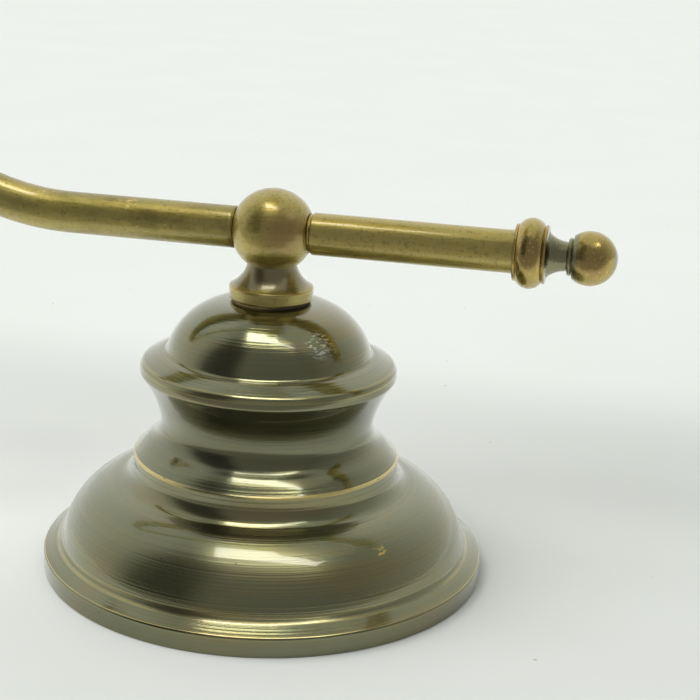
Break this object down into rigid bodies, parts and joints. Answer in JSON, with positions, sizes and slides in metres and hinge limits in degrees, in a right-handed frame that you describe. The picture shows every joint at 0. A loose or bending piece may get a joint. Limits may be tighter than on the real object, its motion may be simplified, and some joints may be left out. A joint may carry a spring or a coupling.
{
  "type": "wall lamp",
  "caption": "Swan-neck wall lamp: turned canopy on a wall bracket, ball knuckle with finial, bent tube arm, lampholder, gallery, opal glass shade and bulb.",
  "frame": {"origin": "centre of the wall plane, midway between the bracket's two screw slots", "axes": "+Z points away from the wall, -X is up when the lamp hangs on a wall, the finial points to +X, +Y completes the frame"},
  "size_m": [0.22, 0.13, 0.2787],
  "materials": {
    "canopy_bronze": "spun brass with a dark olive antique patina, glossy, worn bright on the creases",
    "antique_brass": "antique brass, brushed along the tubes and round the turned pieces",
    "bright_brass": "plain machined brass",
    "plated_steel": "zinc plated, satin",
    "dark_fibre": "matt fibre",
    "dark_sleeve": "matt sleeve",
    "porcelain": "white glazed porcelain",
    "lead_brown": "smooth brown insulation",
    "lead_blue": "smooth blue insulation",
    "lead_green": "smooth green and yellow insulation",
    "opal_glass": "glossy white opal glass",
    "pearl_glass": "satin white bulb glass",
    "bulb_metal": "plain rolled metal"
  },
  "bodies": {
    "base": {"canopy": "canopy_bronze", "wall_bracket": "plated_steel", "bracket_nuts": "bright_brass", "nipple": "bright_brass", "canopy_nut": "bright_brass", "canopy_washer": "plated_steel", "friction_washer": "dark_fibre", "terminal_block": "porcelain", "terminal_sleeves": "bright_brass", "terminal_screws": "plated_steel", "block_screws": "plated_steel", "earth_washer": "bright_brass", "earth_screw": "bright_brass", "lead_live": "lead_brown", "lead_neutral": "lead_blue", "lead_earth": "lead_green", "base_sleeve": "dark_sleeve"},
    "arm": {"neck": "antique_brass", "ball": "antique_brass", "stub_tube": "antique_brass", "finial": "antique_brass", "arm_tube": "antique_brass", "arm_sleeve": "dark_sleeve", "arm_collar": "antique_brass", "holder_cap": "antique_brass", "holder_insert": "porcelain", "holder_screws": "bright_brass", "centre_contact": "bright_brass", "thread_shell": "bright_brass", "holder_skirt": "antique_brass", "gallery": "antique_brass", "shade_ring": "antique_brass", "glass_shade": "opal_glass", "bulb_glass": "pearl_glass", "bulb_cap": "bulb_metal", "bulb_contact": "bulb_metal"},
    "screw_1": {"thumb_screw_1": "antique_brass"},
    "screw_2": {"thumb_screw_2": "antique_brass"},
    "screw_3": {"thumb_screw_3": "antique_brass"}
  },
  "joints": [
    {"name": "arm_swivel", "type": "hinge", "parent": "base", "child": "arm", "pos_m": [0, 0, 0.0837], "axis": [0, 0, 1], "range_deg": [-90, 90]},
    {"name": "screw_1_draw", "type": "slide", "parent": "arm", "child": "screw_1", "axis": [0, 1, 0], "range_m": [0, 0.003]},
    {"name": "screw_2_draw", "type": "slide", "parent": "arm", "child": "screw_2", "axis": [0, -0.5, 0.866], "range_m": [0, 0.003]},
    {"name": "screw_3_draw", "type": "slide", "parent": "arm", "child": "screw_3", "axis": [0, -0.5, -0.866], "range_m": [0, 0.003]}
  ]
}
